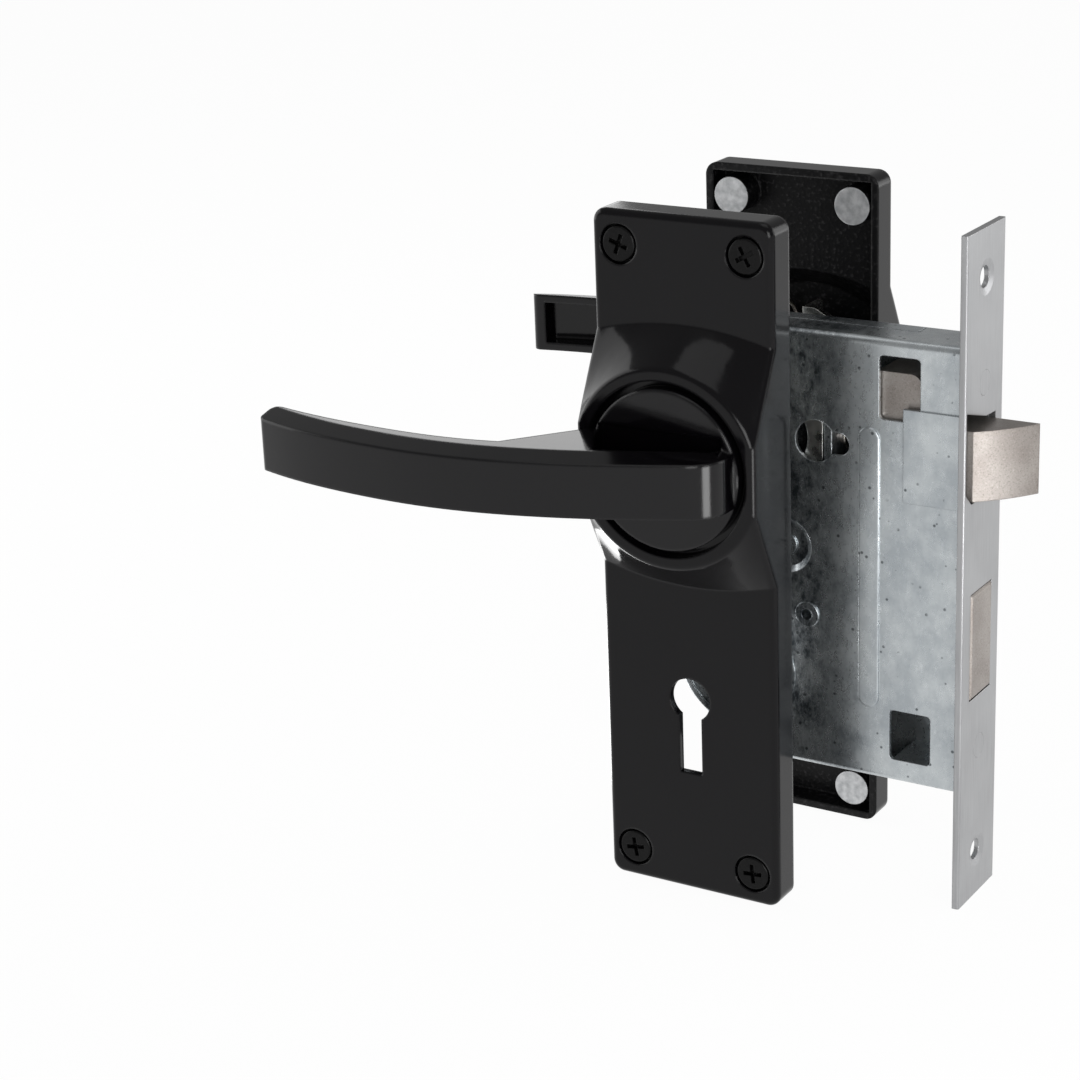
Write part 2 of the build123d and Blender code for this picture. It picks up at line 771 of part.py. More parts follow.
def dome(shift, half_width, y0, y1):
    """The raised part that carries the rose, moved towards the door and cut to a width and a depth."""
    raised = loft([dome_foot(-plate_face + shift), dome_rim(-dome_top + shift)], ruled=True)
    return raised & block(spindle_x - half_width, spindle_x + half_width, y0, y1, plate_low, plate_high)


def shell_edges(shell):
    """The front edges of the side walls, over the dome too, and of the plate's two ends."""
    edges = []
    for edge in shell.edges():
        box = edge.bounding_box()
        flat = box.size.X < running and abs(abs(edge.center().X - spindle_x) - plate_width / 2) < running
        end = abs(edge.center().Z - plate_centre_height) > plate_length / 2 - plate_corner
        if box.max.Y < -plate_face + running and (flat or end):
            edges.append(edge)
    return edges


def front_shell():
    """The outside of the front plate."""
    half = plate_width / 2
    shell = block(spindle_x - half, spindle_x + half, -plate_face, -rim, plate_low, plate_high)
    shell = fillet(shell.edges().filter_by(Axis.Y), plate_corner)
    shell += dome(0, half, -dome_top, -plate_face)
    shell = fillet(shell_edges(shell), plate_edge)
    return fillet(shell.faces().sort_by(Axis.Y)[0].edges(), dome_edge)


def front_hollow():
    """The space behind the plate: a tray, and a deeper place under the raised part."""
    half = plate_width / 2 - plate_wall
    floor = -plate_face + plate_wall
    hollow = block(spindle_x - half, spindle_x + half, floor, -rim,
                   plate_low + plate_wall, plate_high - plate_wall)
    return hollow + dome(dome_inside_shift, half, -recess_floor + plate_wall, floor)


def screw_places():
    """The four corners of the plate screws' rectangle."""
    return [(spindle_x + sx * plate_screw_x / 2, plate_centre_height + sz * plate_screw_z / 2)
            for sx in (-1, 1) for sz in (-1, 1)]


def spring_seat():
    """The plane at the low end of the front return spring, whose axis slants up to the cam's tab."""
    angle = math.radians(return_spring_angle)
    way = Vector(math.cos(angle), 0, math.sin(angle))
    reach = (return_spring_radius + return_spring_wire) * math.sin(angle) + return_spring_wire
    top = Vector(spindle_x + cam_lug_left - slide_gap - reach, -return_spring_middle,
                 spindle_height + cam_lug_top - return_spring_radius / 2)
    return Plane(origin=top - way * return_spring_length, x_dir=(0, 1, 0), z_dir=way)


def plain_front_plate():
    plate = front_shell() - front_hollow()
    plate -= rod_y(spindle_x, spindle_height, rose_recess_radius, -dome_top - plate_wall, -recess_floor)
    plate += rod_y(spindle_x, spindle_height, rose_recess_radius + plate_wall / 2,
                   -recess_floor, -recess_floor + plate_wall) & front_envelope()
    plate -= rod_y(spindle_x, spindle_height, neck_radius + running, -dome_top, -rim)
    seat = spring_seat()
    floor_depth = recess_floor - return_spring_middle - plate_wall / 2
    ledge_width = floor_depth + return_spring_radius
    base = Pos((return_spring_radius - floor_depth) / 2, 0) * Rectangle(ledge_width, 2 * return_spring_radius)
    ledge = seat.offset(-return_ledge - slide_gap) * extrude(base, amount=return_ledge)
    plate += ledge & front_envelope()
    plate -= slab_y(key_hole(plate_key_radius, plate_key_slot, plate_key_length), -plate_face, -rim)
    return plate


def front_envelope():
    """The room between the side walls of the plate."""
    half = plate_width / 2 - plate_wall / 2
    return block(spindle_x - half, spindle_x + half, -dome_top, -rim, plate_low, plate_high)


def front_plate():
    plate = plain_front_plate()
    seat = -plate_face + screw_head_height
    for x, z in screw_places():
        plate += rod_y(x, z, screw_seat_radius + sheet / 2, -plate_face + plate_wall, -rim) & front_envelope()
        plate -= rod_y(x, z, screw_seat_radius, -plate_face, seat)
        plate -= rod_y(x, z, screw_shank_radius + fixed_gap, -plate_face, -rim)
    return plate


def back_plate():
    plate = plain_front_plate()
    for x, z in screw_places():
        plate += rod_y(x, z, boss_radius, -plate_face + plate_wall / 2, -rim)
    return mirrored(plate)


def plate_screws():
    screws = Part()
    top = -plate_face
    half = screw_recess / 2
    for (x, z), turn in zip(screw_places(), screw_turns):
        head = rod_y(x, z, screw_head_radius, top, top + screw_head_height)
        head = fillet(head.faces().sort_by(Axis.Y)[0].edges(), sheet / 2)
        screw = head + rod_y(x, z, screw_shank_radius, top + screw_head_height, top + screw_length)
        cross = Rectangle(screw_recess_length, 2 * half) + Rectangle(2 * half, screw_recess_length)
        turned = at(x, z) * Rot(0, 0, turn) * cross
        screws += screw - slab_y(turned, top, top + screw_recess_depth)
    return screws


def bar_points(line, inset=0, low=-math.inf):
    """Points of one of the bar's lines, moved towards the door by an inset, from a place onwards."""
    return [(spindle_x - along, -disc_face - out + inset) for along, out in line if low <= along]


def handle_bar():
    front = Spline(*bar_points(bar_front_line))
    back = Spline(*bar_points(bar_back_line))
    tip = Line(front @ 1, back @ 0)
    tip_x, end_x = (front @ 1).X, (front @ 0).X
    root = -disc_face + bar_root_depth
    foot = Polyline(back @ 1, (spindle_x - bar_foot_left, root), (end_x, root), front @ 0)
    body = slab_z(closed(front, tip, back, foot), bar_low, bar_high)
    end_edges = edges_along(body, Axis.Z, lambda c: c.X > end_x - running and c.Y < root - running)
    body = fillet(end_edges, bar_end_corner)
    face = body.faces().sort_by(Axis.Y)[0]
    long_edges = [edge for edge in face.edges() if edge.length > disc_radius]
    body = chamfer(long_edges, bar_bevel, bar_bevel_depth, reference=face)
    tip_edges = edges_along(body, Axis.Z, lambda c: c.X < tip_x + bar_corner)
    return fillet(tip_edges, bar_corner) - bar_channel()


def bar_channel():
    """The hollow along the bar's door side, under a roof that follows the front."""
    roof = Spline(*bar_points(bar_front_line, bar_wall, channel_roof_start))
    start, end = roof @ 0, roof @ 1
    open_side = -disc_face - bar_wall
    deep = Polyline(end, (end.X, open_side), (spindle_x - channel_start, open_side), start)
    hollow = slab_z(closed(roof, deep), bar_low + bar_wall, bar_high - bar_wall)
    return hollow & block(spindle_x - channel_end, spindle_x, -2 * disc_face, 0, bar_low, bar_high)


def root_pit(shape):
    """The lever with the pit behind the bar's root, and the crest over it rounded."""
    shape -= slab_z(outline(bar_points(root_pit_line)), root_pit_floor, root_pit_top)
    crest = [edge for edge in shape.edges().filter_by(Axis.X)
             if abs(edge.center().Z - root_pit_top) < running and abs(edge.center().Y + disc_face) < running]
    return fillet(crest, root_crest_edge)


def front_lever():
    disc = rod_y(spindle_x, spindle_height, disc_radius, -disc_face, -recess_floor - disc_gap)
    disc = chamfer(disc.faces().sort_by(Axis.Y)[0].edges(), disc_edge)
    neck = rod_y(spindle_x, spindle_height, neck_radius, -recess_floor - disc_gap, -cam_far)
    neck += rod_y(spindle_x, spindle_height, neck_end_radius, -cam_far, -neck_end)
    groove = rod_y(spindle_x, spindle_height, neck_radius, -circlip_far, -circlip_far + circlip_thickness)
    groove -= rod_y(spindle_x, spindle_height, circlip_inner, -circlip_far, -circlip_far + circlip_thickness)
    shape = root_pit(disc + handle_bar()) + (neck - groove)
    square = at(spindle_x, spindle_height) * Rectangle(spindle_hole, spindle_hole)
    shape -= slab_y(square, -spindle_end - fixed_gap, -neck_end)
    return shape - pin_hole(-1, pin_radius + fixed_gap)


def front_cam_plate():
    x, z = spindle_x, spindle_height
    plate = at(x, z) * Circle(cam_radius)
    plate += outline([(x + cam_lug_left, z), (x + cam_lug_left, z + cam_lug_top),
                      (x + cam_lug_flat, z + cam_lug_top), (x + cam_lug_right, z + cam_lug_shoulder),
                      (x + cam_radius, z)])
    plate -= at(x, z) * Circle(neck_end_radius + fixed_gap)
    shape = slab_y(plate, -cam_far, -cam_far + cam_thickness)
    tab = block(x + cam_lug_left, x + cam_lug_left + cam_tab, -cam_far - cam_tab_depth, -cam_far,
                z + cam_radius, z + cam_lug_top)
    return shape + tab


def front_circlip():
    ring = Circle(circlip_outer) - Circle(circlip_inner + fixed_gap)
    ring -= Pos(0, -circlip_outer) * Rectangle(circlip_slot, circlip_outer)
    return slab_y(at(spindle_x, spindle_height) * ring, -circlip_far, -circlip_far + circlip_thickness)


def front_return_spring():
    return coil("front_return_spring", spring_seat(), return_spring_radius,
                return_spring_length, return_spring_turns, return_spring_wire)


parts = {
    "forend": forend(),
    "forend_rivets": forend_rivets(),
    "case_tray": case_tray(),
    "case_cover": case_cover(),
    "case_pillars": case_pillars(),
    "centre_pillar": centre_pillar(),
    "lever_post": lever_post(),
    "lever_spacer": lever_spacer(),
    "latch_guide": latch_guide(),
    "latch_spring": latch_spring(),
    "lever_springs": lever_springs(),
    "latch_bolt": latch_bolt(),
    "crosshead": crosshead(),
    "follower": follower(),
    "spindle": spindle(),
    "spindle_pins": spindle_pins(),
    "deadbolt": deadbolt(),
    "bolt_stump": bolt_stump(),
    "front_plate": front_plate(),
    "back_plate": back_plate(),
    "plate_screws": plate_screws(),
}
for number in range(1, lever_count + 1):
    parts[f"lever_{number}"] = lever(number)
for name, make in (("lever", front_lever), ("cam_plate", front_cam_plate),
                   ("circlip", front_circlip), ("return_spring", front_return_spring)):
    front = make()
    parts[f"front_{name}"] = front
    parts[f"back_{name}"] = mirrored(front)

os.makedirs("parts", exist_ok=True)
for name, shape in parts.items():
    export_step(shape, f"parts/{name}.step")
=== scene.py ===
"""Mortise lockset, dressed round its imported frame. Metres. +X out through the forend, +Z up."""
import json
import math

import bpy
from mathutils import Matrix, Vector


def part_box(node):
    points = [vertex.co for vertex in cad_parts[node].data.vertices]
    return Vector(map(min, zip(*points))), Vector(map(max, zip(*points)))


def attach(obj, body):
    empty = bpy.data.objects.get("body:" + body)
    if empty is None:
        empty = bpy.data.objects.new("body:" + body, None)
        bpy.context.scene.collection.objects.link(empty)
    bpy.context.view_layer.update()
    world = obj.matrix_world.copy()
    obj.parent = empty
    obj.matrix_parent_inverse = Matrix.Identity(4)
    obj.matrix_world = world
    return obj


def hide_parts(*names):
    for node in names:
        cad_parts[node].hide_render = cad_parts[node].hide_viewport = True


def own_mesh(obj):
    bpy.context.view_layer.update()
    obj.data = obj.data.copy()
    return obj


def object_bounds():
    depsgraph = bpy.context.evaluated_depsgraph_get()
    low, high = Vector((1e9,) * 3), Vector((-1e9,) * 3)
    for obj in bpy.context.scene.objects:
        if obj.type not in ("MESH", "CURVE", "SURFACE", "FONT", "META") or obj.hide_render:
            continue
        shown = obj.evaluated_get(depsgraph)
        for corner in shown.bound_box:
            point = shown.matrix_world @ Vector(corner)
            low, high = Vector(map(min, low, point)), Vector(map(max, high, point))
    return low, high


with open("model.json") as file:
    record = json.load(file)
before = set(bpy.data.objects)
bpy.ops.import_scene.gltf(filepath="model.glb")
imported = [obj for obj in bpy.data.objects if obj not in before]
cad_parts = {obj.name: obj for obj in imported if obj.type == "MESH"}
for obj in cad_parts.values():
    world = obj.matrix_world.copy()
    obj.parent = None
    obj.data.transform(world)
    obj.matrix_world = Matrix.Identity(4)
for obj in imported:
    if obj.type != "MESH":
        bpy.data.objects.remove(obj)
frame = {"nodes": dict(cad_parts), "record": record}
cad_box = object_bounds()

bl_info = {
    "name": "Mortise Lockset",
    "version": (1, 0, 0),
    "blender": (4, 5, 0),
    "location": "View3D > Sidebar > Lockset",
    "description": "Builds the visible pieces and finishes of a mortise lockset round its frame",
    "category": "Add Mesh",
}

MM = 0.001

# Where the spindle runs through the lock, and the middle height of the handle plates
SPINDLE = Vector((-57.0, 0.0, 27.5)) * MM
PLATE_MIDDLE = 2.2 * MM

# The block that holds the hollows behind both handle plates: an axis, its middle and its half size
HOLLOW_BLOCK = (("X", SPINDLE.x, 20.2 * MM), ("Y", 0.0, 28.6 * MM), ("Z", PLATE_MIDDLE, 77.5 * MM))
HOLLOW_FADE = 0.2 * MM

# The spans that most and nearly all values of a noise texture lie in
MOST = (0.35, 0.65)
NEARLY_ALL = (0.3, 0.7)

# How the return springs lie, and how finely every spring is wound
RETURN_SPRING_SLOPE = math.radians(30)
WIRE_SIDES = 10
STEPS_PER_TURN = 20
SMOOTH_BELOW = math.radians(50)

# The floor, and the share of it that camera and reflections see as plain white; the rest keeps the shadow
FLOOR_SIZE = 24
FLOOR_GAP = 0.2 * MM
WHITE_SHARE = 0.96
ROOM_LIGHT = 0.35

# Each lamp's place, its width and height, and its watts. The panels are soft light from all round; the strips
# are small, and show as bright bands in the gloss of the lever's bar, the plate's edge and the dome.
LAMPS = {
    "left_panel": ((-0.95, -0.10, 0.25), (0.9, 0.8), 4.2),
    "front_right_key": ((0.60, -0.95, 0.20), (0.55, 0.60), 6.5),
    "right_back_panel": ((0.80, 0.80, 0.25), (0.9, 0.8), 4.5),
    "top_panel": ((0.0, -0.1, 1.2), (0.9, 0.9), 2.6),
    "bar_strip": ((-0.424, 0.417, 0.235), (0.16, 0.24), 0.22),
    "edge_strip": ((0.14, -0.10, -0.035), (0.07, 0.045), 0.09),
    "dome_strip": ((-0.115, 0.0, -0.05), (0.035, 0.05), 0.030),
}

# The camera at the photograph's angle, solved from the lockset's own edges. Its turns are yaw, pitch and roll
# in degrees, and its lens and sensor are in millimetres.
CAMERA_PLACE = (0.213526, -0.513442, 0.206498)
CAMERA_TURNS = (32.543, 19.549, -2.333)
CAMERA_LENS, CAMERA_SENSOR = 89.18, 36

# Plain helpers


def linear(code):
    """A colour from its sRGB hex value."""
    values = [int(code[i:i + 2], 16) / 255 for i in (1, 3, 5)]
    return [v / 12.92 if v <= 0.04045 else ((v + 0.055) / 1.055) ** 2.4 for v in values] + [1.0]


def add(tree, kind, inputs=None, **settings):
    """Adds a node with its settings, and fills or links its sockets."""
    made = tree.nodes.new("ShaderNode" + kind)
    for name, value in settings.items():
        setattr(made, name, value)
    for key, value in (inputs or {}).items():
        if isinstance(value, bpy.types.NodeSocket):
            tree.links.new(value, made.inputs[key])
        else:
            made.inputs[key].default_value = value
    return made


def started(name):
    """A new material with its tree, its shader and the coordinates of the object."""
    material = bpy.data.materials.new(name)
    material.use_nodes = True
    tree = material.node_tree
    shader = tree.nodes["Principled BSDF"]
    place = add(tree, "TexCoord").outputs["Object"]
    return material, tree, shader, place


def grain(tree, place, size, detail=2.0, stretch=(1, 1, 1), rough=0.5):
    """Noise whose features are about size millimetres across."""
    mapped = add(tree, "Mapping", {"Vector": place, "Scale": stretch})
    return add(tree, "TexNoise", {"Vector": mapped.outputs["Vector"], "Scale": 1 / (size * MM),
                                  "Detail": detail, "Roughness": rough}).outputs["Fac"]


def spread(tree, value, span, result=(0, 1)):
    """A value taken from one span to another and held inside it."""
    return add(tree, "MapRange", {"Value": value, "From Min": span[0], "From Max": span[1],
                                  "To Min": result[0], "To Max": result[1]}).outputs["Result"]


def mixed(tree, share, first, second, way="MIX"):
    """Two colours mixed by a share."""
    return add(tree, "Mix", {0: share, 6: first, 7: second}, data_type="RGBA", blend_type=way).outputs[2]


def between(tree, share, first, second):
    """Two numbers mixed by a share."""
    return add(tree, "Mix", {0: share, 2: first, 3: second}, data_type="FLOAT").outputs[0]


def sum_of(tree, operation, first, second=0.0):
    """One step of arithmetic."""
    return add(tree, "Math", {0: first, 1: second}, operation=operation).outputs[0]


def relief(tree, shader, height, depth, soften=0.3):
    """Bump of a depth on edges that look softened by a radius, both in millimetres."""
    soft = add(tree, "Bevel", {"Radius": soften * MM}, samples=6).outputs["Normal"]
    bump = add(tree, "Bump", {"Height": height, "Distance": depth * MM, "Normal": soft})
    tree.links.new(bump.outputs["Normal"], shader.inputs["Normal"])


def fill(tree, shader, **sockets):
    """Sets or links the shader's own sockets, named with spaces as underscores."""
    for name, value in sockets.items():
        socket = shader.inputs[name.replace("_", " ")]
        if isinstance(value, bpy.types.NodeSocket):
            tree.links.new(value, socket)
        else:
            socket.default_value = value


# Finishes. Every pattern's size is in millimetres.


GLOSS_BLACK = "#070608"
GLOSS_ROUGHNESS = (0.09, 0.15)
SMUDGE_SIZE = 14
PEEL_SIZE = 1.8


def gloss_black_powder_coat():
    """Powder coat on a zinc die casting: deep black, a soft gloss and a faint orange peel."""
    material, tree, shader, place = started("gloss_black_powder_coat")
    smudge = grain(tree, place, SMUDGE_SIZE, 3)
    peel = grain(tree, place, PEEL_SIZE, 1)
    fill(tree, shader, Base_Color=linear(GLOSS_BLACK), Specular_IOR_Level=0.3,
         Roughness=spread(tree, smudge, MOST, GLOSS_ROUGHNESS))
    relief(tree, shader, peel, 0.005, soften=1.0)
    return material


def hollow_share(tree, place):
    """One inside the hollow behind a handle plate, nought on its outside."""
    at = add(tree, "SeparateXYZ", {0: place}).outputs
    turned = add(tree, "SeparateXYZ", {0: add(tree, "TexCoord").outputs["Normal"]}).outputs
    # Below nought where a face looks towards the lock's middle plane
    facing = sum_of(tree, "MULTIPLY", turned["Y"], at["Y"])
    looks_in = spread(tree, facing, (-0.5 * MM, -3 * MM))
    inside = 1.0
    for axis, middle, reach in HOLLOW_BLOCK:
        away = sum_of(tree, "ABSOLUTE", sum_of(tree, "SUBTRACT", at[axis], middle))
        inside = sum_of(tree, "MULTIPLY", spread(tree, away, (reach, reach - HOLLOW_FADE)), inside)
    return sum_of(tree, "MAXIMUM", looks_in, inside)


def black_cast_plate():
    """The same casting and coat, but matt and speckled over coarse die texture in the hollow behind."""
    material, tree, shader, place = started("black_powder_coated_casting")
    hollow = hollow_share(tree, place)
    gloss = spread(tree, grain(tree, place, SMUDGE_SIZE, 3), MOST, GLOSS_ROUGHNESS)
    speck = grain(tree, place, 0.9, 2)
    # The peel outside is only a small share of the die texture's depth
    peel = sum_of(tree, "MULTIPLY", grain(tree, place, PEEL_SIZE, 1), 0.04)
    tone = mixed(tree, spread(tree, speck, (0.56, 0.76)), linear("#050506"), linear("#2c2b2c"))
    fill(tree, shader, Base_Color=mixed(tree, hollow, linear(GLOSS_BLACK), tone), Specular_IOR_Level=0.2,
         Roughness=between(tree, hollow, gloss, 0.42))
    relief(tree, shader, between(tree, hollow, peel, speck), 0.13, soften=0.8)
    return material


def ground_zinc_face():
    """A boss ground flush with the rim: bare zinc with fine scratches, drawn coarser than they are."""
    material, tree, shader, place = started("ground_zinc_face")
    cloud = grain(tree, place, 2.0, 4)
    scratches = grain(tree, place, 0.35, 3, (1, 1, 4))
    tone = mixed(tree, spread(tree, cloud, MOST), linear("#a9abad"), linear("#d2d3d4"))
    fill(tree, shader, Base_Color=tone, Metallic=0.85,
         Roughness=spread(tree, scratches, NEARLY_ALL, (0.35, 0.55)))
    relief(tree, shader, scratches, 0.02)
    return material


def satin_black_screw():
    """Black passivated steel screw: satin and nearly black, a little greyer in fine spots."""
    material, tree, shader, place = started("satin_black_screw")
    fine = grain(tree, place, 0.4, 2)
    tone = mixed(tree, spread(tree, fine, (0.4, 0.7)), linear("#030303"), linear("#0c0b0c"))
    fill(tree, shader, Base_Color=tone, Roughness=0.3, Specular_IOR_Level=0.15)
    relief(tree, shader, fine, 0.02)
    return material


def galvanised_sheet():
    """Hot zinc coated sheet: even light grey with fine dark dots, and painted shade, dark and cloudy, to the
    rear by the handle plate.
    """
    material, tree, shader, place = started("galvanised_sheet")
    at = add(tree, "SeparateXYZ", {0: place}).outputs
    cloud = grain(tree, place, 13, 6, (1, 1, 0.8), 0.7)
    fleck = grain(tree, place, 3.2, 6, (1.6, 1, 0.8), 0.8)
    # The painted shade starts behind the pressed rib, where the front plate shades the case, at an edge that
    # the clouds make uneven
    drift = sum_of(tree, "MULTIPLY", sum_of(tree, "SUBTRACT", cloud, 0.5), 30 * MM)
    rear = spread(tree, sum_of(tree, "ADD", at["X"], drift), (-27 * MM, -40 * MM))
    painted_shade_clouds = spread(tree, sum_of(tree, "ADD", cloud, fleck), (1.10, 0.86), (0, 0.9))
    rear_painted_shade = sum_of(tree, "MULTIPLY", painted_shade_clouds, rear)
    # Dots from the coating bath, one at most in each cell and only in patches
    cell = add(tree, "TexVoronoi", {"Vector": place, "Scale": 1 / (2.6 * MM)}, feature="F1")
    dot = spread(tree, cell.outputs["Distance"], (0.17, 0.11))
    patch = spread(tree, grain(tree, place, 5, 3), (0.46, 0.54), (0, 0.8))
    dots = sum_of(tree, "MULTIPLY", dot, patch)
    base = mixed(tree, spread(tree, cloud, (0.38, 0.62)), linear("#a3a9ad"), linear("#bfc4c6"))
    base = mixed(tree, spread(tree, fleck, (0.58, 0.72), (0, 0.4)), base, linear("#d9dcdd"))
    # Painted shade: the rear of the case is darkened towards dark blue grey, in clouds
    base = mixed(tree, rear_painted_shade, base, linear("#2c343a"))
    base = mixed(tree, dots, base, linear("#3c4144"))
    fill(tree, shader, Base_Color=base, Metallic=0.92, Roughness=spread(tree, fleck, MOST, (0.34, 0.24)))
    relief(tree, shader, fleck, 0.012)
    return material


def satin_forend_plate():
    """Zinc plated, satin brushed steel strip: even mid grey, its lengthwise lines drawn coarser to show."""
    material, tree, shader, place = started("satin_forend_plate")
    lines = grain(tree, place, 0.3, 2, (1, 1, 0.03))
    cloud = grain(tree, place, 16, 3)
    tone = mixed(tree, spread(tree, lines, NEARLY_ALL), linear("#9b9b9d"), linear("#a6a7a8"))
    tone = mixed(tree, spread(tree, cloud, MOST, (0, 0.35)), tone, linear("#b4b5b6"))
    fill(tree, shader, Base_Color=tone, Metallic=0.9, Roughness=0.36)
    relief(tree, shader, lines, 0.003)
    return material


def sintered_iron():
    """Pressed and sintered steel: brown grey, its pores and pale rubbed grains drawn coarser to show."""
    material, tree, shader, place = started("sintered_iron")
    pore = grain(tree, place, 0.4, 3, rough=0.7)
    cloud = grain(tree, place, 9, 2)
    tone = mixed(tree, spread(tree, cloud, MOST), linear("#928b86"), linear("#a19b96"))
    tone = mixed(tree, spread(tree, pore, (0.46, 0.3), (0, 0.5)), tone, linear("#57504b"))
    tone = mixed(tree, spread(tree, pore, (0.58, 0.75), (0, 0.45)), tone, linear("#c9c4bf"))
    fill(tree, shader, Base_Color=tone, Metallic=0.85, Roughness=0.44)
    relief(tree, shader, pore, 0.03)
    return material


def bright_zinc_plate():
    """Bright zinc plated steel: nearly white metal with a faint haze."""
    material, tree, shader, place = started("bright_zinc_plate")
    haze = grain(tree, place, 3, 3)
    tone = mixed(tree, spread(tree, haze, MOST), linear("#c6c6c2"), linear("#e6e5e1"))
    fill(tree, shader, Base_Color=tone, Metallic=1.0, Roughness=spread(tree, haze, NEARLY_ALL, (0.2, 0.34)))
    relief(tree, shader, haze, 0.01)
    return material


def oiled_spring_wire():
    """Drawn and oiled spring steel: mid grey and glossy, with faint marks of the drawing."""
    material, tree, shader, place = started("oiled_spring_wire")
    drawn = grain(tree, place, 0.6, 2)
    tone = mixed(tree, spread(tree, drawn, MOST), linear("#6f6b66"), linear("#9a958e"))
    fill(tree, shader, Base_Color=tone, Metallic=1.0, Roughness=0.28)
    relief(tree, shader, drawn, 0.01, soften=0.1)
    return material


def stamped_brass():
    """Stamped brass levers: dull yellow metal with streaks of the rolled sheet."""
    material, tree, shader, place = started("stamped_brass")
    streaks = grain(tree, place, 0.5, 3, (1, 6, 1))
    tone = mixed(tree, spread(tree, streaks, NEARLY_ALL), linear("#7d6136"), linear("#b08a4f"))
    fill(tree, shader, Base_Color=tone, Metallic=1.0, Roughness=0.36)
    relief(tree, shader, streaks, 0.01)
    return material


FINISHES = {
    "satin_zinc": satin_forend_plate, "zinc_sheet": galvanised_sheet, "bright_zinc": bright_zinc_plate,
    "spring_steel": oiled_spring_wire, "black_enamel": gloss_black_powder_coat,
    "black_screw": satin_black_screw, "sintered_iron": sintered_iron, "lever_brass": stamped_brass,
}
NODE_FINISHES = {"front_plate": black_cast_plate, "back_plate": black_cast_plate}
made_finishes = {}


def finish_of(maker):
    """The material that a maker gives, made once."""
    if maker not in made_finishes:
        made_finishes[maker] = maker()
    return made_finishes[maker]


# Modelling


def clear_selection():
    """Leaves edit mode and selects nothing."""
    if bpy.context.object and bpy.context.object.mode != "OBJECT":
        bpy.ops.object.mode_set(mode="OBJECT")
    bpy.ops.object.select_all(action="DESELECT")


def settle(piece, body, slot, *nodes):
    """Puts the piece's place in its mesh, and lets it ride on its body and stand for its nodes."""
    clear_selection()
    piece.select_set(True)
    bpy.context.view_layer.objects.active = piece
    bpy.ops.object.transform_apply(location=True, rotation=True, scale=True)
    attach(piece, body)
    if nodes:
        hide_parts(*nodes)
    return piece


def wound_spring(name, sizes, low_end, way):
    """A compression spring wound by the screw modifier from a ring of wire, its low end at a point."""
    clear_selection()
    wire, radius = sizes.wire, sizes.radius
    bpy.ops.mesh.primitive_circle_add(vertices=WIRE_SIDES, radius=wire, location=(radius, 0, wire),
                                      rotation=(math.pi / 2, 0, 0))
    spring = bpy.context.object
    spring.name = name
    bpy.ops.object.transform_apply(location=True, rotation=True, scale=True)
    wind = spring.modifiers.new("wind", "SCREW")
    wind.axis = "Z"
    wind.angle = 2 * math.pi * sizes.turns
    wind.screw_offset = sizes.length - 2 * wire
    wind.steps = wind.render_steps = STEPS_PER_TURN * sizes.turns
    wind.use_merge_vertices = True
    bpy.ops.object.modifier_apply(modifier="wind")
    bpy.ops.object.mode_set(mode="EDIT")
    bpy.ops.mesh.select_all(action="DESELECT")
    bpy.ops.mesh.select_non_manifold()
    bpy.ops.mesh.fill_holes(sides=0)
    bpy.ops.mesh.select_all(action="SELECT")
    bpy.ops.mesh.remove_doubles(threshold=1e-6)
    bpy.ops.mesh.normals_make_consistent(inside=False)
    bpy.ops.object.mode_set(mode="OBJECT")
    bpy.ops.object.shade_smooth_by_angle(angle=SMOOTH_BELOW)
    spring.rotation_euler = way.to_track_quat("Z", "Y").to_euler()
    spring.location = low_end
    spring.data.materials.append(finish_of(oiled_spring_wire))
    return spring


# Settings


class LocksetReturnSpring(bpy.types.PropertyGroup):
    """Sizes of the coil springs behind the handle plates."""
    wire: bpy.props.FloatProperty(name="Wire radius", description="Radius of the wire",
                                  default=0.0005, unit="LENGTH", precision=5)
    radius: bpy.props.FloatProperty(name="Coil radius", description="Radius at the middle of the wire",
                                    default=0.0048, unit="LENGTH", precision=5)
    length: bpy.props.FloatProperty(name="Length", description="Length from end to end at rest",
                                    default=0.017, unit="LENGTH", precision=5)
    turns: bpy.props.IntProperty(name="Turns", description="Number of turns", default=7, min=1)


class LocksetLatchSpring(bpy.types.PropertyGroup):
    """Sizes of the coil spring on the latch's stem."""
    wire: bpy.props.FloatProperty(name="Wire radius", description="Radius of the wire",
                                  default=0.00045, unit="LENGTH", precision=5)
    radius: bpy.props.FloatProperty(name="Coil radius", description="Radius at the middle of the wire",
                                    default=0.00275, unit="LENGTH", precision=5)
    length: bpy.props.FloatProperty(name="Length", description="Length from end to end at rest",
                                    default=0.0184, unit="LENGTH", precision=5)
    turns: bpy.props.IntProperty(name="Turns", description="Number of turns", default=7, min=1)


class LocksetSettings(bpy.types.PropertyGroup):
    """What a user would change on the lockset's scene."""
    return_spring: bpy.props.PointerProperty(type=LocksetReturnSpring)
    latch_spring: bpy.props.PointerProperty(type=LocksetLatchSpring)
    ground_radius: bpy.props.FloatProperty(name="Ground face radius",
                                           description="Radius of the back plate's ground boss faces",
                                           default=0.0043, unit="LENGTH", precision=5)
    lamp_level: bpy.props.FloatProperty(name="Lamp level", description="Share of the lamps' usual power",
                                        default=1.0, min=0.0)
    floor_colour: bpy.props.FloatVectorProperty(name="Floor colour", description="Colour of the floor",
                                                subtype="COLOR", size=3, default=(0.92, 0.92, 0.92))


# Operators


class LOCKSET_OT_finishes(bpy.types.Operator):
    """Gives every frame node the finish of its material slot"""
    bl_idname = "lockset.finishes"
    bl_label = "Node finishes"

    def execute(self, context):
        slots = {row["node"]: row["material_slot"] for row in frame["record"]["subparts"]}
        for name, node in frame["nodes"].items():
            material = finish_of(NODE_FINISHES.get(name, FINISHES[slots[name]]))
            for slot in node.material_slots:
                slot.material = material
            if not node.material_slots:
                raise RuntimeError(name + " has no material slot")
        return {"FINISHED"}


